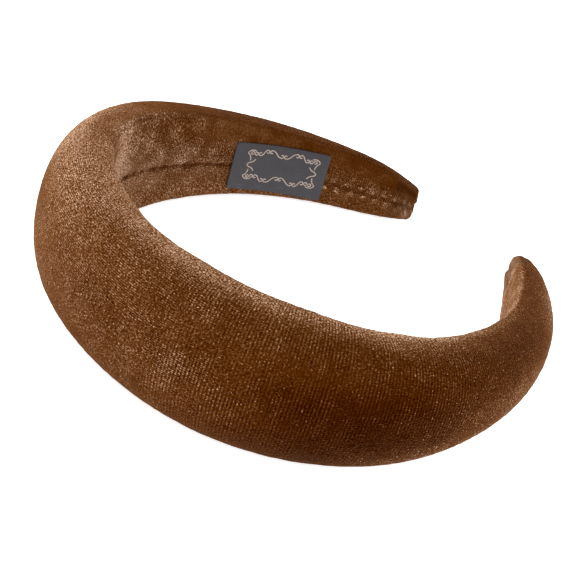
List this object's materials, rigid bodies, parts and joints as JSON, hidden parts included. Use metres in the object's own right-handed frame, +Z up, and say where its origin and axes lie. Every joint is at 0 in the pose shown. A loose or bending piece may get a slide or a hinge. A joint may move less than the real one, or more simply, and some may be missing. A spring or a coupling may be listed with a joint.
{
  "type": "padded headband",
  "caption": "Open C-shaped padded headband in brown velvet, widest over the crown and tapering to gathered tips, lying on its side, with a small bare label inside one arm.",
  "frame": {"origin": "middle of the bounding box's base, on the surface that the band lies on", "axes": "+X from the crown towards the open tips, +Y towards the arm with the label, +Z up, across the band's width"},
  "size_m": [0.1574, 0.16, 0.0443],
  "materials": {
    "velvet": "crushed stretch velvet with a short pile and a soft sheen",
    "label": "smooth dark grey imitation leather with a pale printed scroll border"
  },
  "bodies": {
    "root": {"padded_band": "velvet", "label": "label"}
  },
  "joints": []
}
